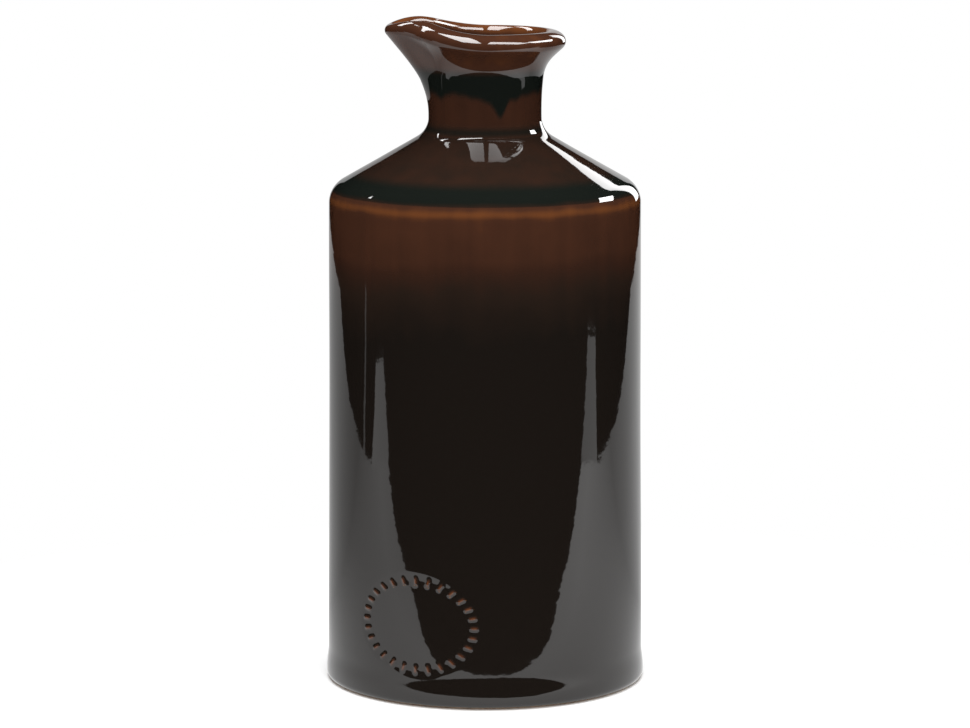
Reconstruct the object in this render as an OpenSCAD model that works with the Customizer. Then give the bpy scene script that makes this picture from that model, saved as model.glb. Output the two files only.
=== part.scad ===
// Stoneware bottle with a pulled pouring lip, under a dark brown glaze.
// The clay is built from thrown sections that lap over each other and are joined with slip.
// The glaze coats are solids of their own: one dip over the body, a second one over the lip,
// and a lining inside.
// Z points up. The origin is on the ground, in the middle of the foot. The spout points along -X.
// All sizes are in millimetres, and outside sizes are taken over the glaze.

/* [Body] */
// Diameter just under the shoulder
body_d = 120; // [100:1:140]
// How much the radius grows from the shoulder down to the foot
body_taper = 1.2; // [0:0.1:3]
// Height of the corner where the lines of body and shoulder would meet
shoulder_z = 192; // [140:1:230]
// Slope of the shoulder above level, in degrees
shoulder_slope = 30; // [22:1:38]
// Radius that rounds the shoulder edge
shoulder_round = 10; // [5:0.5:14]
// Thickness of the clay in the body wall
wall_t = 6.4; // [5:0.2:9]
// Thickness of the clay in the shoulder
shoulder_t = 5.9; // [4:0.1:8]

/* [Foot] */
// Thickness of the floor
floor_t = 9; // [7.5:0.5:14]
// How far the roll round the foot stands out from the body
foot_roll_out = 0.8; // [0.2:0.1:2]
// Height at which the foot roll runs out into the body
foot_roll_h = 13; // [9:0.5:18]
// Radius that rounds the lower edge of the foot roll
foot_round = 3; // [2:0.2:4]
// Width of the ring of bare clay that the bottle stands on
foot_ring_w = 8; // [5:0.5:12]
// Depth of the recess inside the foot ring
recess_h = 1.5; // [0.8:0.1:3]

/* [Neck] */
// Diameter of the neck
neck_d = 43.4; // [42:0.2:50]
// Height of the neck, from the corner with the shoulder up to the lip
neck_h = 10; // [8:0.5:25]
// Radius of the hollow between shoulder and neck
neck_fillet = 9; // [4:0.5:12]
// Diameter of the bore that takes the stopper
bore_d = 34; // [28:0.2:34.5]

/* [Pouring lip] */
// Diameter of the round part of the rim
rim_d = 62.1; // [57:0.1:68]
// Diameter of the rim's crest
crest_d = 50.8; // [47:0.1:53]
// Height of the crest above the joint with the neck
rim_h = 28.4; // [25:0.2:36]
// Height of the throat's upper edge above the joint with the neck
throat_h = 13; // [9:0.5:15]
// Half of the height of the rolled edge
roll_half_h = 4.2; // [3:0.1:5]
// How far the spout reaches past the round rim
spout_reach = 7.4; // [3:0.2:10]
// Half of the angle that the spout takes of the rim, in degrees
spout_half_angle = 38; // [30:1:50]
// Half of the angle over which the rim climbs towards the spout, in degrees
rise_half_angle = 95; // [70:1:120]
// Height that the rim climbs on each side of the spout
spout_rise = 5.5; // [2:0.1:8]
// Depth of the pouring channel between the two climbs
channel_depth = 3.2; // [1:0.1:5]
// Half of the angle of the pouring channel, in degrees
channel_half_angle = 30; // [20:1:38]
// Half of the height of the rolled edge at the tip of the spout
tip_half_h = 2.3; // [1.8:0.1:3.5]
// Half of the thickness of the rolled edge at the tip of the spout
tip_half_w = 2.2; // [1.8:0.1:3.5]

/* [Seal] */
// Width of the oval seal round the body
seal_w = 54; // [40:1:60]
// Height of the oval seal
seal_h = 41.5; // [32:0.5:48]
// Height of the middle of the seal
seal_z = 31.5; // [30:0.5:120]
// Bearing of the seal round the body, from +X towards +Y, in degrees
seal_bearing = 244.4; // [0:0.2:360]
// How deep the seal is set into the clay
seal_set = 2; // [1.2:0.1:3]
// How far the face of the seal lies below the glaze
seal_sunk = 0.6; // [0.5:0.1:1]
// Number of raised marks round the seal
mark_count = 28; // [12:1:36]
// Length of a mark
mark_l = 3.4; // [2:0.1:5]
// Width of a mark
mark_w = 1.2; // [0.8:0.1:2]
// Height of a mark above the seal's face
mark_h = 0.45; // [0.3:0.05:0.5]
// Margin between the marks and the edge of the seal
mark_margin = 2; // [1:0.2:4]

/* [Glaze] */
// Thickness of the glaze outside
glaze_t = 0.6; // [0.4:0.1:1]
// Thickness of the glaze inside
lining_t = 0.5; // [0.4:0.1:1]
// Angle below level at which the glaze ends on the foot roll, in degrees
glaze_end = 40; // [20:1:60]

/* [Joints] */
// Height of the lap between two sections of the body
lap_h = 4; // [2:0.5:5]
// Height of the joint between foot and body wall
base_joint_z = 5; // [3.5:0.5:6]
// Distance of the upper wall joint below the corner of the shoulder
wall_joint_drop = 12; // [11:0.5:30]
// How far the flange of the neck reaches past the neck
neck_flange = 6; // [5:0.5:8]
// Height of the lap between neck and lip
lip_lap_h = 3; // [1.5:0.5:5]

/* [Hidden] */
$fn = 96;
body_r = body_d / 2;
body_low_r = body_r + body_taper;
foot_r = body_low_r + foot_roll_out;
neck_r = neck_d / 2;
bore_r = bore_d / 2;
rim_r = rim_d / 2;
crest_r = crest_d / 2;

// Inside of the clay
inner_r = body_r - glaze_t - wall_t;
throat_r = bore_r + lining_t;
shoulder_inner_z = shoulder_z + (body_r - inner_r) * tan(shoulder_slope)
    - (shoulder_t + glaze_t) / cos(shoulder_slope);
inner_round = 6;
throat_round = 4;
floor_round = 3;

// Heights from the shoulder up
neck_z = shoulder_z + (body_r - neck_r) * tan(shoulder_slope);
lip_z = neck_z + neck_h;
throat_z = lip_z + throat_h;
crest_z = lip_z + rim_h;
wall_joint_z = shoulder_z - wall_joint_drop;

// Middles of the laps, where the two sections share the wall
lap_r = inner_r + wall_t / 2;
lip_lap_r = (throat_r + neck_r - glaze_t) / 2;
flange_r = neck_r + neck_flange;
flange_z = shoulder_z + (body_r - flange_r) * tan(shoulder_slope) - shoulder_t / 2;
plug_r = (flange_r + throat_r) / 2;

// Seal
seal_back_r = body_r - glaze_t - seal_set;
seal_face_r = body_low_r - body_taper * (seal_z / shoulder_z) - seal_sunk;
seal_points = 60;

// Lip: sections round the rim, and steps along each section
lip_sections = 72;
section_crowding = 0.35;
flare_steps = 7;
roll_steps = 7;
inside_roll_steps = 4;
throat_steps = 6;

// Lip: the form of a section. A pair holds the value on the round rim and at the tip of the spout.
// Angle on the rolled edge, below level, where the flare under it ends
roll_start = -40;
// Angle on the rolled edge, past its crest, where the throat starts
inside_roll_end = [180, 132];
// Width of the rolled edge inside its crest
roll_inside_w = 2.6;
// How far the flare leans out, in mm, and how far it holds the line of the neck, as shares of rim_h
flare_lean = [0.2, 1.1];
flare_hold = [0.53, 0.35];
flare_pull = [0.29, 0.41];
// The same for the throat, as shares of its depth
throat_pull = [0.45, 0.62];
throat_hold = [0.4, 0.3];
// How much wider than the bore the throat starts
throat_ease = 0.3;
// The higher, the narrower the spout is at its tip
spout_power = 1.6;

// Steps in each arc of an outline, and how far cutting shapes reach past what they cut
arc_steps = 10;
slack = 1;

// Helpers

function reversed(list) = [for (i = [len(list) - 1:-1:0]) list[i]];

function mix(a, b, t) = a + (b - a) * t;

function blend(pair, t) = mix(pair[0], pair[1], t);

function unit(v) = v / norm(v);

function bezier(p0, p1, p2, p3, t) =
    pow(1 - t, 3) * p0 + 3 * t * pow(1 - t, 2) * p1 + 3 * t * t * (1 - t) * p2 + pow(t, 3) * p3;

// Arc about a centre, with its angles from the radial direction upwards
function arc(centre, radius, from, to, steps) =
    [for (i = [0:steps]) let (a = mix(from, to, i / steps)) centre + radius * [cos(a), sin(a)]];

// Rounded outward corner between two lines whose outward normals point at angles a and b.
// depth moves the whole line inwards and keeps the centre of the arc.
function outward_corner(corner, a, b, radius, depth) =
    let (centre = corner - radius / cos((b - a) / 2) * [cos((a + b) / 2), sin((a + b) / 2)])
    arc(centre, radius - depth, a, b, arc_steps);

// The same for an inward corner, where the centre lies outside
function inward_corner(corner, a, b, radius, depth) =
    let (centre = corner + radius / cos((b - a) / 2) * [cos((a + b) / 2), sin((a + b) / 2)])
    arc(centre, radius + depth, a + 180, b + 180, arc_steps);

// Outlines of the body as [radius, height], from the foot up

// Foot roll, from an angle below level up to where it runs out into the body
function foot_line(depth, from) =
    concat(
        arc([foot_r - foot_round, foot_round], foot_round - depth, from, 0, arc_steps),
        [for (i = [1:arc_steps])
            let (t = i / arc_steps)
            [mix(body_low_r, foot_r, (1 + cos(180 * t)) / 2) - depth, mix(foot_round, foot_roll_h, t)]]
    );

// Outside of the bottle up to a height on the neck, at a depth below the face of the glaze
function outer_line(depth, from, top_z) =
    let (lean = atan(body_taper / (shoulder_z - foot_roll_h)))
    concat(
        foot_line(depth, from),
        outward_corner([body_r, shoulder_z], lean, 90 - shoulder_slope, shoulder_round, depth),
        inward_corner([neck_r, neck_z], 90 - shoulder_slope, 0, neck_fillet, depth),
        [[neck_r - depth, top_z]]
    );

// Inside of the body, from the floor up to a height in the neck, at a height above the clay
function inner_line(height, top_z) =
    let (bore_corner_z = shoulder_inner_z + (inner_r - throat_r) * tan(shoulder_slope))
    concat(
        outward_corner([inner_r, shoulder_inner_z], 0, 90 - shoulder_slope, inner_round, height),
        inward_corner([throat_r, bore_corner_z], 90 - shoulder_slope, 0, throat_round, height),
        [[throat_r - height, top_z]]
    );

// The clay

// Whole thrown shell under the glaze, before it is parted into sections
module clay_shell() {
    sleeve_z = lip_z + lip_lap_h;
    rotate_extrude()
        polygon(concat(
            [[0, 0], [foot_r - foot_round - glaze_t, 0]],
            outer_line(glaze_t, -90, lip_z),
            [[lip_lap_r, lip_z], [lip_lap_r, sleeve_z]],
            reversed(inner_line(0, sleeve_z)),
            [[inner_r, floor_t], [0, floor_t]]
        ));
}

// Space of the foot section: a disc with a raised middle that the wall laps over
module base_zone() {
    translate([0, 0, -slack]) cylinder(r = foot_r + slack, h = base_joint_z + slack);
    translate([0, 0, -slack]) cylinder(r = lap_r, h = floor_t + slack);
}

// Space of everything above the wall, with the tongue that reaches down inside the wall
module upper_zone() {
    translate([0, 0, wall_joint_z]) cylinder(r = foot_r + slack, h = lip_z);
    translate([0, 0, wall_joint_z - lap_h]) cylinder(r = lap_r, h = lip_z);
}

// Space of the neck, with the flange that lies in the shoulder
// and the plug that reaches down through it
module neck_zone() {
    translate([0, 0, flange_z]) cylinder(r = flange_r, h = lip_z - flange_z);
    translate([0, 0, wall_joint_z]) cylinder(r = plug_r, h = lip_z);
}

module base() {
    ring_inner_r = foot_r - foot_round - glaze_t - foot_ring_w;
    color("#b08a66")
    difference() {
        intersection() {
            clay_shell();
            base_zone();
        }
        translate([0, 0, -slack])
            cylinder(r1 = ring_inner_r + slack, r2 = ring_inner_r - recess_h, h = recess_h + slack);
    }
}

module body_wall() {
    color("#a9835f")
    difference() {
        clay_shell();
        base_zone();
        upper_zone();
        seal_pocket();
    }
}

module shoulder() {
    color("#a27c59")
    difference() {
        intersection() {
            clay_shell();
            upper_zone();
        }
        neck_zone();
    }
}

module neck() {
    color("#9b7553")
    intersection() {
        clay_shell();
        neck_zone();
    }
}

// The lip. Its sections stand round the axis, and az counts from the spout.

// Share of the spout at a bearing: 1 at its tip, 0 on the round part of the rim
function spout_share(az) =
    pow(max(0, cos(90 * min(1, abs(az) / spout_half_angle))), spout_power);

// Smooth hump over a half angle, 1 in the middle
function hump(az, half_angle) = pow(cos(90 * min(1, abs(az) / half_angle)), 2);

// Height of the crest above the round part of the rim
function crest_rise(az) =
    spout_rise * hump(az, rise_half_angle) - channel_depth * hump(az, channel_half_angle);

// One section of the lip as [radius, height], from the joint with the neck up over the
// rolled edge and down to the throat, at a depth below the face of the glaze
function lip_section(az, depth) =
    let (
        s = spout_share(az),
        half_h = mix(roll_half_h, tip_half_h, s),
        half_w = mix(rim_r - crest_r, tip_half_w, s),
        centre = [rim_r + spout_reach * s - half_w, crest_z + crest_rise(az) - half_h],
        // Half sizes of the rolled edge at this depth, outside and inside of the crest
        out_w = half_w - depth,
        in_w = mix(roll_inside_w, tip_half_w, s) - depth,
        up_h = half_h - depth,
        // Flare from the neck to the underside of the roll
        flare_end = centre + [out_w * cos(roll_start), up_h * sin(roll_start)],
        flare_way = unit([-out_w * sin(roll_start), up_h * cos(roll_start)]),
        flare_start = [neck_r - depth, lip_z],
        flare_1 = flare_start + [blend(flare_lean, s), blend(flare_hold, s) * rim_h],
        flare_2 = flare_end - blend(flare_pull, s) * rim_h * flare_way,
        // Throat from the inside of the roll down to the bore
        inside_end = blend(inside_roll_end, s),
        throat_start = centre + [in_w * cos(inside_end), up_h * sin(inside_end)],
        throat_way = unit([-in_w * sin(inside_end), up_h * cos(inside_end)]),
        throat_end = [bore_r + throat_ease + depth, throat_z],
        drop = throat_start[1] - throat_z,
        throat_1 = throat_start + blend(throat_pull, s) * drop * throat_way,
        throat_2 = throat_end + [0, blend(throat_hold, s) * drop]
    )
    concat(
        [for (i = [0:flare_steps - 1])
            bezier(flare_start, flare_1, flare_2, flare_end, i / flare_steps)],
        [for (i = [0:roll_steps - 1])
            let (a = mix(roll_start, 90, i / roll_steps))
            centre + [out_w * cos(a), up_h * sin(a)]],
        [for (i = [0:inside_roll_steps - 1])
            let (a = mix(90, inside_end, i / inside_roll_steps))
            centre + [in_w * cos(a), up_h * sin(a)]],
        [for (i = [0:throat_steps])
            bezier(throat_start, throat_1, throat_2, throat_end, i / throat_steps)]
    );

// Bearing of a section from the spout, with the sections closer together at the spout
function section_az(i) =
    let (t = 360 * i / lip_sections - 180)
    t - section_crowding * sin(t) * 180 / PI;

function ring_point(az, p) = [-p[0] * cos(az), -p[0] * sin(az), p[1]];

// Two triangles for each patch between neighbouring sections of n points
function skin_faces(n, closed) = [
    for (i = [0:lip_sections - 1])
    for (j = [0:n - (closed ? 1 : 2)])
    let (
        k = (i + 1) % lip_sections,
        m = (j + 1) % n,
        a = i * n + j,
        b = i * n + m,
        c = k * n + m,
        d = k * n + j
    )
    each [[a, b, c], [a, c, d]]
];

// Solid lip under its glaze, still closed at the bore
module lip_blank() {
    section = [for (i = [0:lip_sections - 1]) lip_section(section_az(i), glaze_t)];
    n = len(section[0]);
    polyhedron(
        points = [for (i = [0:lip_sections - 1]) each [for (p = section[i]) ring_point(section_az(i), p)]],
        faces = concat(
            skin_faces(n, false),
            [[for (i = [0:lip_sections - 1]) i * n]],
            [[for (i = [lip_sections - 1:-1:0]) i * n + n - 1]]
        )
    );
}

module pouring_lip() {
    color("#946e4d")
    difference() {
        lip_blank();
        translate([0, 0, lip_z - slack]) cylinder(r = throat_r, h = throat_h + 2 * slack);
        translate([0, 0, lip_z - slack]) cylinder(r = lip_lap_r, h = lip_lap_h + slack);
    }
}

// The seal: an oval pad set into the wall, with a ring of short raised marks

function oval(width, height, steps) =
    [for (i = [0:steps - 1]) let (a = 360 * i / steps) [width / 2 * cos(a), height / 2 * sin(a)]];

// Oval prism through the wall at the seal
module seal_prism() {
    rotate([0, 0, seal_bearing])
        translate([inner_r, 0, seal_z])
        rotate([90, 0, 90])
        linear_extrude(foot_r - inner_r + slack)
        polygon(oval(seal_w, seal_h, seal_points));
}

module seal_pocket() {
    difference() {
        seal_prism();
        cylinder(r = seal_back_r, h = shoulder_z);
    }
}

// One mark, with its middle at a place on the unrolled face of the seal
module seal_mark(place) {
    root = (seal_face_r - seal_back_r) / 2;
    rotate([0, 0, seal_bearing + place[0] / seal_face_r * 180 / PI])
        translate([seal_face_r + (mark_h - root) / 2, 0, seal_z + place[1]])
        rotate([atan2(place[1], place[0]), 0, 0])
        cube([mark_h + root, mark_l, mark_w], center = true);
}

module seal_pad() {
    inset = 2 * mark_margin + mark_l;
    color("#6e4a2c") {
        difference() {
            intersection() {
                seal_prism();
                cylinder(r = seal_face_r, h = shoulder_z);
            }
            translate([0, 0, -slack]) cylinder(r = seal_back_r, h = shoulder_z + 2 * slack);
        }
        for (place = oval(seal_w - inset, seal_h - inset, mark_count)) seal_mark(place);
    }
}

// The glaze

module body_glaze() {
    color("#2a1a12")
    difference() {
        rotate_extrude()
            polygon(concat(
                outer_line(0, -glaze_end, lip_z),
                reversed(outer_line(glaze_t, -glaze_end, lip_z))
            ));
        seal_prism();
    }
}

module lip_glaze() {
    section = [for (i = [0:lip_sections - 1])
        let (az = section_az(i))
        concat(lip_section(az, 0), reversed(lip_section(az, glaze_t)))];
    color("#7a4a1e")
    polyhedron(
        points = [for (i = [0:lip_sections - 1]) each [for (p = section[i]) ring_point(section_az(i), p)]],
        faces = skin_faces(len(section[0]), true)
    );
}

module inner_glaze() {
    color("#1c130e")
    rotate_extrude()
        polygon(concat(
            [[0, floor_t], [inner_r, floor_t]],
            inner_line(0, throat_z),
            reversed(inner_line(lining_t, throat_z)),
            reversed(arc([inner_r - lining_t - floor_round, floor_t + lining_t + floor_round],
                floor_round, -90, 0, arc_steps)),
            [[0, floor_t + lining_t]]
        ));
}

base();
body_wall();
shoulder();
neck();
pouring_lip();
seal_pad();
body_glaze();
lip_glaze();
inner_glaze();
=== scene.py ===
import math

import bpy
import numpy as np
from mathutils import Euler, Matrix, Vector, noise


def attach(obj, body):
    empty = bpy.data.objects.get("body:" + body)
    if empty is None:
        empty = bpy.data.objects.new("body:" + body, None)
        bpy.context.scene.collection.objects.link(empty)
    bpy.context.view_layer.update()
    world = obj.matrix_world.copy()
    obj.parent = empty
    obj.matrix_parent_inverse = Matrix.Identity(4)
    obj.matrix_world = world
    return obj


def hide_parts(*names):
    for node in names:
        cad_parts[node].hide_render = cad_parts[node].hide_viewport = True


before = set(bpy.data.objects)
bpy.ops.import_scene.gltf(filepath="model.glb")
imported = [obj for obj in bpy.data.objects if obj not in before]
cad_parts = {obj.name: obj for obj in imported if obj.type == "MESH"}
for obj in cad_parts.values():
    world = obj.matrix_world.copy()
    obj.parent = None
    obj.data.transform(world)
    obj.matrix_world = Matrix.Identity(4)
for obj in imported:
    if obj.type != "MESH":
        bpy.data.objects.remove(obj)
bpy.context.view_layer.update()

MM = 0.001
ROOT = "root"

# Sizes of the bottle in millimetres, as in the part's source
BODY_R = 60.0
TAPER = 1.2
BODY_LOW_R = BODY_R + TAPER
FOOT_R = BODY_LOW_R + 0.8
FOOT_ROUND = 3.0
FOOT_ROLL_H = 13.0
SHOULDER_Z = 192.0
SHOULDER_SLOPE = 30.0
SHOULDER_ROUND = 10.0
NECK_R = 21.7
NECK_H = 10.0
NECK_FILLET = 9.0
NECK_Z = SHOULDER_Z + (BODY_R - NECK_R) * math.tan(math.radians(SHOULDER_SLOPE))
LIP_Z = NECK_Z + NECK_H
BORE_R = 17.0
GLAZE_T = 0.6
LINING_T = 0.5
GLAZE_END = 40.0
WALL_T = 6.4
SHOULDER_T = 5.9
FLOOR_T = 9.0

# The lip in millimetres and degrees. A pair holds the value on the round rim and at the spout's tip.
RIM_R = 31.05
CREST_R = 25.4
RIM_H = 28.4
THROAT_H = 13.0
ROLL_HALF_H = (4.2, 2.3)
ROLL_HALF_W = (RIM_R - CREST_R, 2.2)
ROLL_INSIDE_W = (2.6, 2.2)
SPOUT_REACH = 7.4
SPOUT_HALF_ANGLE = 38.0
SPOUT_POWER = 1.6
RISE_HALF_ANGLE = 95.0
SPOUT_RISE = 5.5
CHANNEL_DEPTH = 3.2
CHANNEL_HALF_ANGLE = 30.0
ROLL_START = -40.0
INSIDE_ROLL_END = (180.0, 132.0)
FLARE_LEAN = (0.2, 1.1)
FLARE_HOLD = (0.53, 0.35)
FLARE_PULL = (0.29, 0.41)
THROAT_PULL = (0.45, 0.62)
THROAT_HOLD = (0.4, 0.3)
THROAT_EASE = 0.3

# The seal in millimetres and degrees
SEAL_W = 54.0
SEAL_H = 41.5
SEAL_Z = 31.5
SEAL_BEARING = 244.4
MARK_COUNT = 28
MARK_L = 3.4
MARK_W = 1.3
MARK_H = 0.55
MARK_MARGIN = 2.0
SEAL_DISH = 0.35

# Columns of the meshes: close together across the seal, wider apart elsewhere
SEAL_HALF_ANGLE = 30.0
SEAL_STEP = 0.42
COLUMN_STEP = 1.25

# Camera, fitted to the outline in the photograph
PICTURE_W = 970
FOCAL_PX = 4101.0
CAMERA_Y = -1.5714
CAMERA_Z = 0.3749
CAMERA_PITCH = 9.11
SENSOR = 36.0


# Camera, lamps and stage

def add_camera():
    camera = bpy.data.objects.new("camera", bpy.data.cameras.new("camera"))
    camera.data.sensor_width = SENSOR
    camera.data.lens = FOCAL_PX / PICTURE_W * SENSOR
    camera.location = (0, CAMERA_Y, CAMERA_Z)
    camera.rotation_euler = Euler((math.radians(90 - CAMERA_PITCH), 0, 0))
    bpy.context.collection.objects.link(camera)
    bpy.context.scene.camera = camera


# Places and sizes of the stage in metres, strengths as radiance where 1 is white
ROOM_FILL = 0.55
ROOM_R = 3.2
ROOM_LOW = -1.4
ROOM_TOP = 3.4
FLOOR_HALF = 6.0
FLOOR_NEAR_R = 0.10
FLOOR_FAR_R = 0.30

# The white paper as the glaze mirrors it: half width at each distance behind the bottle
PAPER_PLAN = ((-0.30, 0.56), (0.0, 0.575), (0.35, 0.68), (0.8, 0.84), (1.1, 0.70), (1.45, 0.42))
PAPER_RISE_R = 0.2
PAPER_TOP = 0.72
PAPER_BEND_MID = 0.128
PAPER_BEND_SIDE = 0.190
PAPER_DROOP = 0.5
PAPER_BACK = 0.62
PAPER_FRONT = 1.5
PAPER_RIGHT = 1.2

# Lamps by the direction from the rim: x and y over the height, then the strength
LAMP_HEIGHT = 0.9
RIM_CENTRE_Z = 0.25
LAMPS = {
    "lamp_front_left": (((-0.06, -1.0), (-0.07, 0.22), (-0.48, 0.22), (-0.62, -1.0)), 15),
    "lamp_front_right": (((0.11, -1.15), (0.11, -0.42), (1.5, -0.42), (1.5, -1.15)), 15),
    "lamp_right": (((1.05, -0.28), (1.75, -0.28), (2.3, 1.25), (1.5, 1.25)), 20),
    "lamp_back_left": (((-0.38, 0.42), (-0.38, 0.75), (-1.4, 0.75), (-1.4, 0.30)), 13),
}
STRIP_BEARINGS = (146.0, 159.0)
STRIP_DISTANCE = 1.1
STRIP_LOW = 0.18
STRIP_TOP = 0.88
STRIP_STRENGTH = 5.0

# Black flag that keeps the lamps off the shoulder and the foot of the neck
FLAG_Z = 0.229
FLAG_INNER_R = 0.028
FLAG_OUTER_R = 0.26
FLAG_HALF_ANGLE = 80


def new_mesh_object(name, points, faces):
    mesh = bpy.data.meshes.new(name)
    mesh.from_pydata([tuple(p) for p in points], [], [tuple(f) for f in faces])
    mesh.update()
    obj = bpy.data.objects.new(name, mesh)
    bpy.context.collection.objects.link(obj)
    return obj


def node_material(name):
    """Empty node material with its tree and output node."""
    material = bpy.data.materials.new(name)
    material.use_nodes = True
    material.node_tree.nodes.clear()
    return material, material.node_tree, material.node_tree.nodes.new("ShaderNodeOutputMaterial")


def glow_material(name, strength):
    """White light that shows in reflections. Lamps light the bottle by themselves."""
    material, tree, out = node_material(name)
    glow = tree.nodes.new("ShaderNodeEmission")
    glow.inputs["Strength"].default_value = strength
    tree.links.new(glow.outputs[0], out.inputs["Surface"])
    material.cycles.emission_sampling = "NONE"
    return material


def only_mirrored(obj):
    """Marks a stage object that only reflections show."""
    obj.visible_camera = False
    obj.visible_diffuse = False
    obj.visible_shadow = False


def add_card(name, points, material):
    card = new_mesh_object(name, points, [range(len(points))])
    card.data.materials.append(material)
    only_mirrored(card)


def add_world():
    """White for the camera and for mirrored rays, softer for the light that falls on the bottle."""
    world = bpy.data.worlds.new("studio")
    world.use_nodes = True
    tree = world.node_tree
    path = tree.nodes.new("ShaderNodeLightPath")
    camera_or_glossy = tree.nodes.new("ShaderNodeMath")
    camera_or_glossy.operation = "MAXIMUM"
    seen = tree.nodes.new("ShaderNodeMath")
    seen.operation = "MAXIMUM"
    level = tree.nodes.new("ShaderNodeMapRange")
    level.inputs["To Min"].default_value = ROOM_FILL
    level.inputs["To Max"].default_value = 1.0
    tree.links.new(path.outputs["Is Camera Ray"], camera_or_glossy.inputs[0])
    tree.links.new(path.outputs["Is Glossy Ray"], camera_or_glossy.inputs[1])
    tree.links.new(camera_or_glossy.outputs[0], seen.inputs[0])
    tree.links.new(path.outputs["Is Transmission Ray"], seen.inputs[1])
    tree.links.new(seen.outputs[0], level.inputs["Value"])
    background = tree.nodes["Background"]
    background.inputs["Color"].default_value = (1, 1, 1, 1)
    tree.links.new(level.outputs["Result"], background.inputs["Strength"])
    bpy.context.scene.world = world


def add_floor():
    """Pale floor that keeps the bottle's soft shadow and is plain white further away."""
    material, tree, out = node_material("floor")
    paper = tree.nodes.new("ShaderNodeBsdfDiffuse")
    paper.inputs["Color"].default_value = (0.86, 0.86, 0.86, 1)
    white = tree.nodes.new("ShaderNodeEmission")
    place = tree.nodes.new("ShaderNodeTexCoord")
    reach = tree.nodes.new("ShaderNodeVectorMath")
    reach.operation = "LENGTH"
    away = tree.nodes.new("ShaderNodeMapRange")
    away.inputs["From Min"].default_value = FLOOR_NEAR_R
    away.inputs["From Max"].default_value = FLOOR_FAR_R
    blend_node = tree.nodes.new("ShaderNodeMixShader")
    tree.links.new(place.outputs["Object"], reach.inputs[0])
    tree.links.new(reach.outputs["Value"], away.inputs["Value"])
    tree.links.new(away.outputs["Result"], blend_node.inputs[0])
    tree.links.new(paper.outputs[0], blend_node.inputs[1])
    tree.links.new(white.outputs[0], blend_node.inputs[2])
    tree.links.new(blend_node.outputs[0], out.inputs["Surface"])
    material.cycles.emission_sampling = "NONE"
    h = FLOOR_HALF
    floor = new_mesh_object("floor", [(-h, -h, 0), (h, -h, 0), (h, h, 0), (-h, h, 0)], [range(4)])
    floor.data.materials.append(material)
    floor.visible_glossy = False


def add_dark_room():
    """The unlit room that the glaze mirrors beyond the paper and the lamps."""
    material, tree, out = node_material("dark_room")
    black = tree.nodes.new("ShaderNodeEmission")
    black.inputs["Strength"].default_value = 0.0
    tree.links.new(black.outputs[0], out.inputs["Surface"])
    sides = 24
    ring = [(ROOM_R * math.cos(2 * math.pi * i / sides), ROOM_R * math.sin(2 * math.pi * i / sides))
            for i in range(sides)]
    points = [(x, y, ROOM_LOW) for x, y in ring] + [(x, y, ROOM_TOP) for x, y in ring]
    faces = [(i, (i + 1) % sides, sides + (i + 1) % sides, sides + i) for i in range(sides)]
    faces += [range(sides), range(sides, 2 * sides)]
    room = new_mesh_object("dark_room", points, faces)
    room.data.materials.append(material)
    only_mirrored(room)


def paper_half_width(y):
    return float(np.interp(y, [p[0] for p in PAPER_PLAN], [p[1] for p in PAPER_PLAN]))


def paper_material():
    """Lit paper as the glaze mirrors it: brighter towards the front and to the right."""
    material, tree, out = node_material("paper_glow")
    glow = tree.nodes.new("ShaderNodeEmission")
    place = tree.nodes.new("ShaderNodeTexCoord")
    parts = tree.nodes.new("ShaderNodeSeparateXYZ")
    tree.links.new(place.outputs["Object"], parts.inputs[0])
    depth = tree.nodes.new("ShaderNodeMapRange")
    for socket, value in (("From Min", 0.12), ("From Max", -0.12),
                          ("To Min", PAPER_BACK), ("To Max", PAPER_FRONT)):
        depth.inputs[socket].default_value = value
    across = tree.nodes.new("ShaderNodeMapRange")
    for socket, value in (("From Min", -0.3), ("From Max", 0.3),
                          ("To Min", 2 - PAPER_RIGHT), ("To Max", PAPER_RIGHT)):
        across.inputs[socket].default_value = value
    tree.links.new(parts.outputs["Y"], depth.inputs["Value"])
    tree.links.new(parts.outputs["X"], across.inputs["Value"])
    both = tree.nodes.new("ShaderNodeMath")
    both.operation = "MULTIPLY"
    tree.links.new(depth.outputs["Result"], both.inputs[0])
    tree.links.new(across.outputs["Result"], both.inputs[1])
    tree.links.new(both.outputs[0], glow.inputs["Strength"])
    tree.links.new(glow.outputs[0], out.inputs["Surface"])
    material.cycles.emission_sampling = "NONE"
    return material


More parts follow.
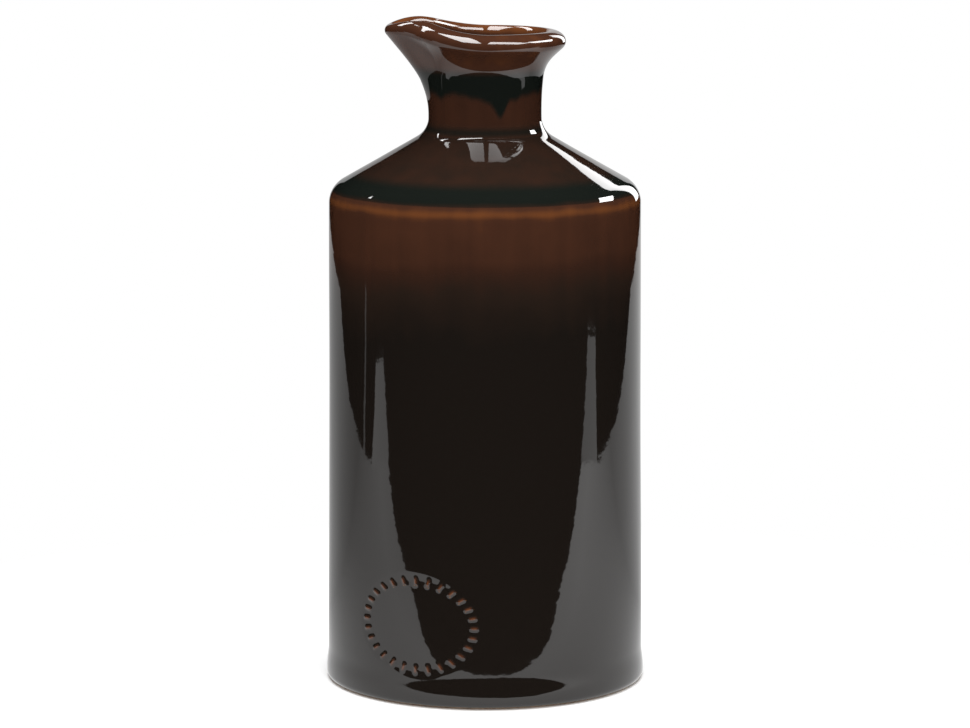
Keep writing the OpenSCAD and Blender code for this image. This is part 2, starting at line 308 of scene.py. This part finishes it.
def add_paper():
    """White paper under and behind the bottle. It droops at the front and rises at the back."""
    back = PAPER_PLAN[-1][0]
    rows = [(y, 0.0) for y in np.arange(-0.30, back + 0.001, 0.01)]
    for i in range(1, 13):
        a = math.radians(90 * i / 12)
        rows.append((back + PAPER_RISE_R * math.sin(a), PAPER_RISE_R * (1 - math.cos(a))))
    rows.append((back + PAPER_RISE_R, PAPER_TOP))
    across = np.linspace(-1, 1, 97)
    points = []
    for y, z in rows:
        half = paper_half_width(y)
        for u in across:
            x = u * half
            side = min(1.0, max(0.0, (abs(x) - 0.07) / 0.18))
            bend = -mix(PAPER_BEND_MID, PAPER_BEND_SIDE, side)
            points.append((x, y, z - PAPER_DROOP * max(0.0, bend - y)))
    n = len(across)
    faces = [(i * n + j, i * n + j + 1, (i + 1) * n + j + 1, (i + 1) * n + j)
             for i in range(len(rows) - 1) for j in range(n - 1)]
    paper = new_mesh_object("paper", points, faces)
    paper.data.materials.append(paper_material())
    only_mirrored(paper)
    board = glow_material("board_glow", 1.1)
    add_card("board_left", [(-0.56, -0.2, 0), (-0.88, -0.2, 0), (-0.88, -0.09, 0), (-0.56, -0.03, 0)], board)
    add_card("board_right", [(0.57, -0.2, 0), (1.03, -0.2, 0), (1.03, -0.07, 0), (0.57, -0.04, 0)], board)
    add_card("board_edge", [(-0.56, 0.035, 0), (-1.2, 0.125, 0), (-1.2, 0.15, 0), (-0.56, 0.055, 0)],
             glow_material("edge_glow", 0.5))


def add_lamps():
    for name, (corners, strength) in LAMPS.items():
        points = [(x * LAMP_HEIGHT, y * LAMP_HEIGHT - 0.03, RIM_CENTRE_Z + LAMP_HEIGHT) for x, y in corners]
        add_card(name, points, glow_material(name, strength))
    a, b = (math.radians(v) for v in STRIP_BEARINGS)
    low, top, d = STRIP_LOW, STRIP_TOP, STRIP_DISTANCE
    add_card("lamp_strip", [(d * math.sin(a), -d * math.cos(a), low), (d * math.sin(b), -d * math.cos(b), low),
                            (d * math.sin(b), -d * math.cos(b), top), (d * math.sin(a), -d * math.cos(a), top)],
             glow_material("lamp_strip", STRIP_STRENGTH))
    # The soft light that falls on the bottle and the floor
    add_soft_lamp("soft_top", (0.0, -0.1, 1.5), (0, 0, 0.1), 1.3, 1.1, SOFT_TOP)
    add_soft_lamp("soft_front", (0.2, -1.7, 1.1), (0, 0, 0.13), 1.4, 1.0, SOFT_FRONT)


SOFT_TOP = 30.0
SOFT_FRONT = 22.0


def add_soft_lamp(name, place, aim, width, height, power):
    """Rectangular soft lamp that looks at a point, without a mirror image of its own."""
    data = bpy.data.lights.new(name, "AREA")
    data.shape = "RECTANGLE"
    data.size = width
    data.size_y = height
    data.energy = power
    lamp = bpy.data.objects.new(name, data)
    lamp.location = place
    lamp.rotation_euler = (Vector(aim) - Vector(place)).to_track_quat("-Z", "Y").to_euler()
    lamp.visible_camera = False
    lamp.visible_glossy = False
    bpy.context.collection.objects.link(lamp)


def add_flag():
    """Black flag over the front of the shoulder. It stops mirrored rays from below only."""
    material, tree, out = node_material("flag")
    geometry = tree.nodes.new("ShaderNodeNewGeometry")
    clear = tree.nodes.new("ShaderNodeBsdfTransparent")
    black = tree.nodes.new("ShaderNodeEmission")
    black.inputs["Strength"].default_value = 0.0
    choice = tree.nodes.new("ShaderNodeMixShader")
    tree.links.new(geometry.outputs["Backfacing"], choice.inputs[0])
    tree.links.new(clear.outputs[0], choice.inputs[1])
    tree.links.new(black.outputs[0], choice.inputs[2])
    tree.links.new(choice.outputs[0], out.inputs["Surface"])
    steps = 32
    points = []
    for i in range(steps + 1):
        a = math.radians(mix(-FLAG_HALF_ANGLE, FLAG_HALF_ANGLE, i / steps))
        for r in (FLAG_INNER_R, FLAG_OUTER_R):
            points.append((r * math.sin(a), -r * math.cos(a), FLAG_Z))
    # Faces upwards, so rays from below meet the back
    faces = [(2 * i, 2 * i + 1, 2 * i + 3, 2 * i + 2) for i in range(steps)]
    flag = new_mesh_object("flag", points, faces)
    if flag.data.polygons[0].normal.z < 0:
        flag.data.flip_normals()
    flag.data.materials.append(material)
    only_mirrored(flag)


def add_stage():
    add_world()
    add_floor()
    add_dark_room()
    add_paper()
    add_lamps()
    add_flag()


# Outlines, as arrays of [radius, height] in millimetres

def mix(a, b, t):
    return a + (b - a) * t


def blend(pair, t):
    return mix(pair[0], pair[1], t)


def arc(centre, radius, start, end, steps):
    a = np.radians(np.linspace(start, end, steps + 1))
    return np.stack([centre[0] + radius * np.cos(a), centre[1] + radius * np.sin(a)], 1)


def corner(point, a, b, radius, depth, outward):
    """Rounded corner between lines whose outward normals point at angles a and b, in degrees."""
    way = 1 if outward else -1
    middle = math.radians((a + b) / 2)
    reach = way * radius / math.cos(math.radians((b - a) / 2))
    centre = (point[0] - reach * math.cos(middle), point[1] - reach * math.sin(middle))
    turn = 0 if outward else 180
    return arc(centre, radius - way * depth, a + turn, b + turn, 24)


def line(start, end, step):
    """Points between two places, without the first one."""
    n = max(1, int(round(math.dist(start, end) / step)))
    t = np.linspace(0, 1, n + 1)[1:]
    return np.stack([mix(start[0], end[0], t), mix(start[1], end[1], t)], 1)


def joined(*parts):
    """Outline through its parts, with straight stretches filled in between them."""
    out = [parts[0]]
    for part, step in parts[1:]:
        if math.dist(out[-1][-1], part[0]) > 1e-6:
            out.append(line(out[-1][-1], part[0], step)[:-1])
        else:
            part = part[1:]
        out.append(part)
    return np.concatenate(out)


def body_line(depth, fine):
    """Outside of the bottle, from the end of the glaze on the foot up to the lip."""
    steps = 1.0 if fine else 8.0
    lean = math.degrees(math.atan(TAPER / (SHOULDER_Z - FOOT_ROLL_H)))
    t = np.linspace(0, 1, 24)
    roll = np.stack([
        mix(BODY_LOW_R, FOOT_R, (1 + np.cos(np.pi * t)) / 2) - depth,
        mix(FOOT_ROUND, FOOT_ROLL_H, t)], 1)
    foot = arc((FOOT_R - FOOT_ROUND, FOOT_ROUND), FOOT_ROUND - depth, -GLAZE_END, 0, 12)
    above_seal = (BODY_LOW_R - TAPER * (SEAL_Z + 24) / SHOULDER_Z - depth, SEAL_Z + 24)
    return joined(
        foot,
        (roll, 1),
        (np.array([above_seal]), 0.45 * steps),
        (corner((BODY_R, SHOULDER_Z), lean, 90 - SHOULDER_SLOPE, SHOULDER_ROUND, depth, True), 1.5 * steps),
        (corner((NECK_R, NECK_Z), 90 - SHOULDER_SLOPE, 0, NECK_FILLET, depth, False), 1.0 * steps),
        (np.array([[NECK_R - depth, LIP_Z]]), 0.8 * steps),
    )


def inner_line(height):
    """Inside of the bottle, from the middle of the floor up to the throat, above the clay."""
    inner_r = BODY_R - GLAZE_T - WALL_T
    throat_r = BORE_R + LINING_T
    slope = math.radians(SHOULDER_SLOPE)
    inner_z = SHOULDER_Z + (BODY_R - inner_r) * math.tan(slope) - (SHOULDER_T + GLAZE_T) / math.cos(slope)
    bore_z = inner_z + (inner_r - throat_r) * math.tan(slope)
    floor_round = 3.0 - height * 0.5
    return joined(
        np.array([[0.02, FLOOR_T + height]]),
        (arc((inner_r - height - floor_round, FLOOR_T + height + floor_round), floor_round, -90, 0, 8), 6),
        (corner((inner_r, inner_z), 0, 90 - SHOULDER_SLOPE, 6.0, height, True), 8),
        (corner((throat_r, bore_z), 90 - SHOULDER_SLOPE, 0, 4.0, height, False), 3),
        (np.array([[throat_r - height, LIP_Z + THROAT_H]]), 1.5),
    )


def spout_share(az):
    """1 at the tip of the spout, 0 on the round rim. az counts from the spout, in degrees."""
    return max(0.0, math.cos(math.radians(90 * min(1, abs(az) / SPOUT_HALF_ANGLE)))) ** SPOUT_POWER


def hump(az, half_angle):
    return math.cos(math.radians(90 * min(1, abs(az) / half_angle))) ** 2


def bezier(p0, p1, p2, p3, t):
    t = t[:, None]
    return (1 - t) ** 3 * p0 + 3 * t * (1 - t) ** 2 * p1 + 3 * t * t * (1 - t) * p2 + t ** 3 * p3


FLARE_STEPS = 26
ROLL_STEPS = 22
INSIDE_ROLL_STEPS = 10
THROAT_STEPS = 14


def lip_section(az, depth):
    """One section of the lip, from the neck over the rolled edge down to the throat."""
    s = spout_share(az)
    half_h = blend(ROLL_HALF_H, s)
    half_w = blend(ROLL_HALF_W, s)
    rise = SPOUT_RISE * hump(az, RISE_HALF_ANGLE) - CHANNEL_DEPTH * hump(az, CHANNEL_HALF_ANGLE)
    centre = np.array([RIM_R + SPOUT_REACH * s - half_w, LIP_Z + RIM_H + rise - half_h])
    out_w = half_w - depth
    in_w = blend(ROLL_INSIDE_W, s) - depth
    up_h = half_h - depth

    def on_roll(width, degrees):
        a = np.radians(np.atleast_1d(degrees))
        return centre + np.stack([width * np.cos(a), up_h * np.sin(a)], 1)

    def along_roll(width, degrees):
        a = math.radians(degrees)
        way = np.array([-width * math.sin(a), up_h * math.cos(a)])
        return way / np.linalg.norm(way)

    flare_start = np.array([NECK_R - depth, LIP_Z])
    flare_end = on_roll(out_w, ROLL_START)[0]
    flare_1 = flare_start + np.array([blend(FLARE_LEAN, s), blend(FLARE_HOLD, s) * RIM_H])
    flare_2 = flare_end - blend(FLARE_PULL, s) * RIM_H * along_roll(out_w, ROLL_START)
    inside_end = blend(INSIDE_ROLL_END, s)
    throat_start = on_roll(in_w, inside_end)[0]
    throat_end = np.array([BORE_R + THROAT_EASE + depth, LIP_Z + THROAT_H])
    drop = throat_start[1] - throat_end[1]
    throat_1 = throat_start + blend(THROAT_PULL, s) * drop * along_roll(in_w, inside_end)
    throat_2 = throat_end + np.array([0, blend(THROAT_HOLD, s) * drop])
    return np.concatenate([
        bezier(flare_start, flare_1, flare_2, flare_end, np.arange(FLARE_STEPS) / FLARE_STEPS),
        on_roll(out_w, mix(ROLL_START, 90, np.arange(ROLL_STEPS) / ROLL_STEPS)),
        on_roll(in_w, mix(90, inside_end, np.arange(INSIDE_ROLL_STEPS) / INSIDE_ROLL_STEPS)),
        bezier(throat_start, throat_1, throat_2, throat_end, np.linspace(0, 1, THROAT_STEPS + 1)),
    ])


# Meshes of the glaze

def columns():
    """Bearings of the mesh columns from +X, in degrees."""
    low = SEAL_BEARING - SEAL_HALF_ANGLE
    high = SEAL_BEARING + SEAL_HALF_ANGLE
    close = np.arange(low, high, SEAL_STEP)
    rest = 360 - 2 * SEAL_HALF_ANGLE
    n = int(rest / COLUMN_STEP)
    wide = high + rest * np.arange(n) / n
    return np.concatenate([close, wide])


def ring_points(bearings, lines):
    """Grid [row, column, xyz] in millimetres from one outline for each column."""
    a = np.radians(bearings)
    r = lines[..., 0]
    return np.stack([r * np.cos(a), r * np.sin(a), lines[..., 1]], -1)


def grid_normals(grid):
    """Unit normals of a grid that closes round its columns, pointing out of the bottle."""
    along = np.gradient(grid, axis=0)
    around = np.roll(grid, -1, axis=1) - np.roll(grid, 1, axis=1)
    normal = np.cross(around, along)
    return normal / np.maximum(np.linalg.norm(normal, axis=-1, keepdims=True), 1e-9)


def wobble(point, scale, stretch):
    """Smooth noise at a place, longer along the height than round the bottle."""
    return noise.noise(Vector((point[0] / scale, point[1] / scale, point[2] / (scale * stretch))))


def seal_relief(bearings, heights):
    """Height of the seal's relief over the body, for each place of a grid, in millimetres."""
    dx = np.radians(bearings[None, :] - SEAL_BEARING) * BODY_LOW_R
    dz = heights[:, None] - SEAL_Z
    reach = np.sqrt((dx / (SEAL_W / 2)) ** 2 + (dz / (SEAL_H / 2)) ** 2)
    dish = -SEAL_DISH * np.clip((1.0 - reach) / 0.18, 0, 1) ** 2 * (3 - 2 * np.clip((1.0 - reach) / 0.18, 0, 1))
    marks = np.zeros_like(dish)
    inset = 2 * MARK_MARGIN + MARK_L
    for i in range(MARK_COUNT):
        a = 2 * math.pi * i / MARK_COUNT
        px, pz = (SEAL_W - inset) / 2 * math.cos(a), (SEAL_H - inset) / 2 * math.sin(a)
        way = math.atan2(pz, px)
        along = (dx - px) * math.cos(way) + (dz - pz) * math.sin(way)
        across = -(dx - px) * math.sin(way) + (dz - pz) * math.cos(way)
        marks = np.maximum(marks, np.exp(-((along / (MARK_L / 2)) ** 4 + (across / (MARK_W / 1.6)) ** 2)))
    return dish + MARK_H * marks, marks


def outer_grid():
    """The glazed outside: grid of points in millimetres, row where the lip starts, seal marks."""
    bearings = columns()
    body = body_line(0, True)
    lip = np.stack([lip_section((b + 360) % 360 - 180, 0) for b in bearings], 1)
    rows = len(body) - 1
    lines = np.concatenate([np.repeat(body[:-1, None, :], len(bearings), 1), lip], 0)
    # Soften the bend where the flare starts to lean
    for _ in range(30):
        lines[rows - 8:rows + 9] = (
            lines[rows - 9:rows + 8] + 2 * lines[rows - 8:rows + 9] + lines[rows - 7:rows + 10]) / 4
    grid = ring_points(bearings, lines)
    normals = grid_normals(grid)
    relief, marks = seal_relief(bearings, grid[:, 0, 2])
    inside_body = (np.arange(len(grid)) < rows)[:, None]
    relief = np.where(inside_body, relief, 0)
    marks = np.where(inside_body, marks, 0)
    waves = np.array([[
        BODY_WAVE * wobble(p, 30, 2.4) + SMALL_WAVE * wobble(p, 9, 4) + RIDGES * wobble(p, 26, 0.11)
        for p in row] for row in grid])
    # The waves fade out towards the foot and over the lip
    z = grid[..., 2]
    fade = np.clip((z - 4) / 14, 0, 1) * np.clip((LIP_Z + 26 - z) / 40, 0.25, 1)
    grid = grid + normals * (relief + waves * fade)[..., None]
    return bearings, grid, grid_normals(grid), rows, marks


BODY_WAVE = 0.22
SMALL_WAVE = 0.03
RIDGES = 0.006


def coat(name, outer, normals, inner):
    """Closed coat from an outer and an inner grid with the same columns."""
    n_out, n_col = outer.shape[:2]
    grid = np.concatenate([outer, inner[::-1]], 0)
    n_row = len(grid)
    faces = []
    for i in range(n_row):
        k = (i + 1) % n_row
        for j in range(n_col):
            m = (j + 1) % n_col
            faces.append((i * n_col + j, i * n_col + m, k * n_col + m, k * n_col + j))
    obj = new_mesh_object(name, grid.reshape(-1, 3) * MM, faces)
    mesh = obj.data
    mesh.polygons.foreach_set("use_smooth", [True] * len(mesh.polygons))
    inner_normals = -grid_normals(inner)[::-1]
    custom = np.concatenate([normals, inner_normals], 0).reshape(-1, 3)
    mesh.normals_split_custom_set_from_vertices([tuple(v) for v in custom])
    return obj


def set_attribute(obj, name, values, n_vertices):
    """Stores one number for each vertex, with zero for the vertices after the given ones."""
    data = obj.data.attributes.new(name, "FLOAT", "POINT")
    padded = np.zeros(n_vertices)
    padded[:values.size] = values.reshape(-1)
    data.data.foreach_set("value", padded)


def smoothstep(low, high, x):
    t = np.clip((x - low) / (high - low), 0, 1)
    return t * t * (3 - 2 * t)


# Thickness of the glaze down the body, 0 to 1, at heights in millimetres
RUN_HEIGHTS = (120, 136, 152, 163, 171, 183)
RUN_LEVELS = (1.0, 0.92, 0.78, 0.60, 0.42, 0.37)
CONE_LEVEL = 0.64
NECK_LEVEL = 0.45
ROLL_LEVEL = 0.34
# Painted shade: down the throat the glaze darkens towards this level
THROAT_SHADE_LEVEL = 0.85


def glaze_fields(bearings, grid, rows, marks):
    """Thickness of the glaze, with a painted highlight and painted shade in it, and depth of its greenish
    black, partly pools and partly painted shade, for each vertex, both 0 to 1.
    """
    z = grid[..., 2]
    a = np.radians(bearings)[None, :]
    drips = np.array([wobble((40 * math.cos(b), 40 * math.sin(b), 0), 9, 1) for b in np.radians(bearings)])
    slow = np.array([wobble((40 * math.cos(b), 40 * math.sin(b), 50), 30, 1) for b in np.radians(bearings)])
    thick_and_painted_light = np.interp(z - 5 * slow, RUN_HEIGHTS, RUN_LEVELS)
    # Painted highlight: a thin line of thinner, more orange glaze on the shoulder's rounding, in place of the
    # lamps' highlight there
    thick_and_painted_light -= 0.16 * np.exp(-((z - 188.0 - 0.8 * drips) / 1.6) ** 2)
    # Greenish black, partly glaze pools and partly painted shade: over the shoulder's edge, where no lamp is
    # mirrored, in the crease at the foot of the neck and under the lip, where they drip
    pool_and_shade = smoothstep(190.2, 192.6, z - 0.8 * drips) * smoothstep(199.5, 196.0, z)
    pool_and_shade += 0.85 * np.exp(-((z - 215.0) / 2.0) ** 2)
    drip_z = 229.0 - 3.0 * drips - 7.0 * np.exp(-((np.degrees(a) - 286) / 9) ** 2)
    pool_and_shade += smoothstep(drip_z - 1.5, drip_z + 1.5, z) * smoothstep(240, 236, z)
    thick_and_painted_light = np.where(z > 191, CONE_LEVEL, thick_and_painted_light)
    thick_and_painted_light = np.where(z > 213, NECK_LEVEL, thick_and_painted_light)
    thick_and_painted_light = np.where(z > 234, mix(NECK_LEVEL, ROLL_LEVEL, smoothstep(234, 244, z)), thick_and_painted_light)
    # From the crest inwards: amber just inside, then painted shade that darkens the glaze down the throat
    crest = rows + FLARE_STEPS + ROLL_STEPS
    inside = np.arange(len(z))[:, None] - crest
    depth = z[crest][None, :] - z
    throat = mix(0.22, THROAT_SHADE_LEVEL, smoothstep(1.5, 8.0, depth))
    thick_and_painted_light = np.where(inside > 0, throat, thick_and_painted_light)
    thick_and_painted_light = thick_and_painted_light - 0.8 * marks
    return np.clip(thick_and_painted_light, 0, 1), np.clip(pool_and_shade, 0, 1)


# Materials

def glaze_material(name):
    """Glossy glaze: amber where thin, brown to black where the glaze is thicker, greenish black in pools and
    painted shade, with a painted highlight and painted shade in the thickness.
    """
    material = bpy.data.materials.new(name)
    material.use_nodes = True
    tree = material.node_tree
    shader = tree.nodes["Principled BSDF"]
    shader.inputs["Roughness"].default_value = 0.035
    shader.inputs["IOR"].default_value = 1.52
    place = tree.nodes.new("ShaderNodeTexCoord")
    # Glaze thickness, with a painted highlight on the shoulder and painted shade down the throat in it
    thick_and_painted_light = tree.nodes.new("ShaderNodeAttribute")
    thick_and_painted_light.attribute_name = "thick_and_painted_light"
    # Greenish black: partly glaze pools, partly painted shade on the shoulder's edge, at the neck's foot and
    # under the lip
    pool_and_shade = tree.nodes.new("ShaderNodeAttribute")
    pool_and_shade.attribute_name = "pool_and_shade"

    # Runs down the wall
    stretch = tree.nodes.new("ShaderNodeMapping")
    stretch.inputs["Scale"].default_value = (150, 150, 9)
    tree.links.new(place.outputs["Object"], stretch.inputs["Vector"])
    runs = tree.nodes.new("ShaderNodeTexNoise")
    runs.inputs["Scale"].default_value = 1.0
    runs.inputs["Detail"].default_value = 3.0
    tree.links.new(stretch.outputs[0], runs.inputs["Vector"])
    # Cloudy breaks
    clouds = tree.nodes.new("ShaderNodeTexNoise")
    clouds.inputs["Scale"].default_value = 70.0
    clouds.inputs["Detail"].default_value = 4.0
    tree.links.new(place.outputs["Object"], clouds.inputs["Vector"])

    def math_node(operation, a, b):
        node = tree.nodes.new("ShaderNodeMath")
        node.operation = operation
        for socket, value in zip(node.inputs, (a, b)):
            if isinstance(value, (int, float)):
                socket.default_value = value
            else:
                tree.links.new(value, socket)
        return node.outputs[0]

    shift = math_node("MULTIPLY", math_node("SUBTRACT", runs.outputs["Fac"], 0.5), 0.16)
    shift_too = math_node("MULTIPLY", math_node("SUBTRACT", clouds.outputs["Fac"], 0.5), 0.14)
    level = math_node("ADD", thick_and_painted_light.outputs["Fac"], math_node("ADD", shift, shift_too))

    ramp = tree.nodes.new("ShaderNodeValToRGB")
    tree.links.new(level, ramp.inputs["Fac"])
    stops = [
        (0.00, (0.30, 0.115, 0.028)),
        (0.16, (0.115, 0.038, 0.012)),
        (0.34, (0.046, 0.0175, 0.0095)),
        (0.50, (0.028, 0.0118, 0.0072)),
        (0.68, (0.0155, 0.0092, 0.0065)),
        (0.88, (0.0080, 0.0060, 0.0048)),
    ]
    elements = ramp.color_ramp.elements
    while len(elements) < len(stops):
        elements.new(0.5)
    for element, (position, colour) in zip(elements, stops):
        element.position = position
        element.color = (*colour, 1)

    # Greenish black tint of glaze pools and painted shade
    tint = tree.nodes.new("ShaderNodeMix")
    tint.data_type = "RGBA"
    tint.inputs["B"].default_value = (0.006, 0.0075, 0.0062, 1)
    tree.links.new(pool_and_shade.outputs["Fac"], tint.inputs["Factor"])
    tree.links.new(ramp.outputs["Color"], tint.inputs["A"])
    tree.links.new(tint.outputs["Result"], shader.inputs["Base Color"])

    # Fine unevenness of the fired surface
    bump = tree.nodes.new("ShaderNodeBump")
    bump.inputs["Strength"].default_value = 0.12
    bump.inputs["Distance"].default_value = 0.0004
    tree.links.new(clouds.outputs["Fac"], bump.inputs["Height"])
    tree.links.new(bump.outputs["Normal"], shader.inputs["Normal"])
    return material


def clay_material():
    """Bare fired stoneware: sandy, matt, with darker specks."""
    material = bpy.data.materials.new("clay")
    material.use_nodes = True
    tree = material.node_tree
    shader = tree.nodes["Principled BSDF"]
    shader.inputs["Roughness"].default_value = 0.85
    place = tree.nodes.new("ShaderNodeTexCoord")
    grain = tree.nodes.new("ShaderNodeTexNoise")
    grain.inputs["Scale"].default_value = 900.0
    grain.inputs["Detail"].default_value = 6.0
    tree.links.new(place.outputs["Object"], grain.inputs["Vector"])
    ramp = tree.nodes.new("ShaderNodeValToRGB")
    ramp.color_ramp.elements[0].position = 0.32
    ramp.color_ramp.elements[0].color = (0.16, 0.10, 0.06, 1)
    ramp.color_ramp.elements[1].position = 0.46
    ramp.color_ramp.elements[1].color = (0.42, 0.30, 0.20, 1)
    tree.links.new(grain.outputs["Fac"], ramp.inputs["Fac"])
    tree.links.new(ramp.outputs["Color"], shader.inputs["Base Color"])
    bump = tree.nodes.new("ShaderNodeBump")
    bump.inputs["Strength"].default_value = 0.4
    bump.inputs["Distance"].default_value = 0.0003
    tree.links.new(grain.outputs["Fac"], bump.inputs["Height"])
    tree.links.new(bump.outputs["Normal"], shader.inputs["Normal"])
    return material


def paint(obj, material):
    obj.data.materials.clear()
    obj.data.materials.append(material)


# The pieces

def build_outer_glaze(material):
    bearings, grid, normals, rows, marks = outer_grid()
    # Thickness with a painted highlight and painted shade in it, and greenish black of glaze pools and painted
    # shade
    thick_and_painted_light, pool_and_shade = glaze_fields(bearings, grid, rows, marks)
    n_col = len(bearings)

    body_inner = np.repeat(body_line(GLAZE_T, False)[:, None, :], n_col, 1)
    body = coat("glaze_body", grid[:rows + 1], normals[:rows + 1], ring_points(bearings, body_inner))
    lip_inner = np.stack([lip_section((b + 360) % 360 - 180, GLAZE_T)[::3] for b in bearings], 1)
    lip = coat("glaze_lip", grid[rows:], normals[rows:], ring_points(bearings, lip_inner))
    for obj, part, node, slot in (
            (body, slice(0, rows + 1), "body_glaze", "body_glaze"),
            (lip, slice(rows, None), "lip_glaze", "lip_glaze")):
        count = len(obj.data.vertices)
        set_attribute(obj, "thick_and_painted_light", thick_and_painted_light[part], count)
        set_attribute(obj, "pool_and_shade", pool_and_shade[part], count)
        paint(obj, material)
        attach(obj, ROOT)
        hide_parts(node)


def build_lining(material):
    bearings = 360 * np.arange(144) / 144
    face = np.repeat(inner_line(LINING_T)[:, None, :], len(bearings), 1)
    back = np.repeat(inner_line(0)[:, None, :], len(bearings), 1)
    face_grid = ring_points(bearings, face)
    obj = coat("lining", face_grid[::-1], -grid_normals(face_grid)[::-1], ring_points(bearings, back)[::-1])
    count = len(obj.data.vertices)
    set_attribute(obj, "thick_and_painted_light", np.full(count, 0.7), count)
    set_attribute(obj, "pool_and_shade", np.zeros(count), count)
    paint(obj, material)
    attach(obj, ROOT)
    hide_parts("inner_glaze")


def main():
    add_camera()
    add_stage()
    glaze = glaze_material("glaze")
    clay = clay_material()
    for name in ("base", "body_wall", "shoulder", "neck", "pouring_lip"):
        paint(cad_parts[name], clay)
    paint(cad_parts["seal_pad"], glaze)
    build_outer_glaze(glaze)
    build_lining(glaze)
    bpy.context.scene.view_settings.view_transform = "Standard"


main()
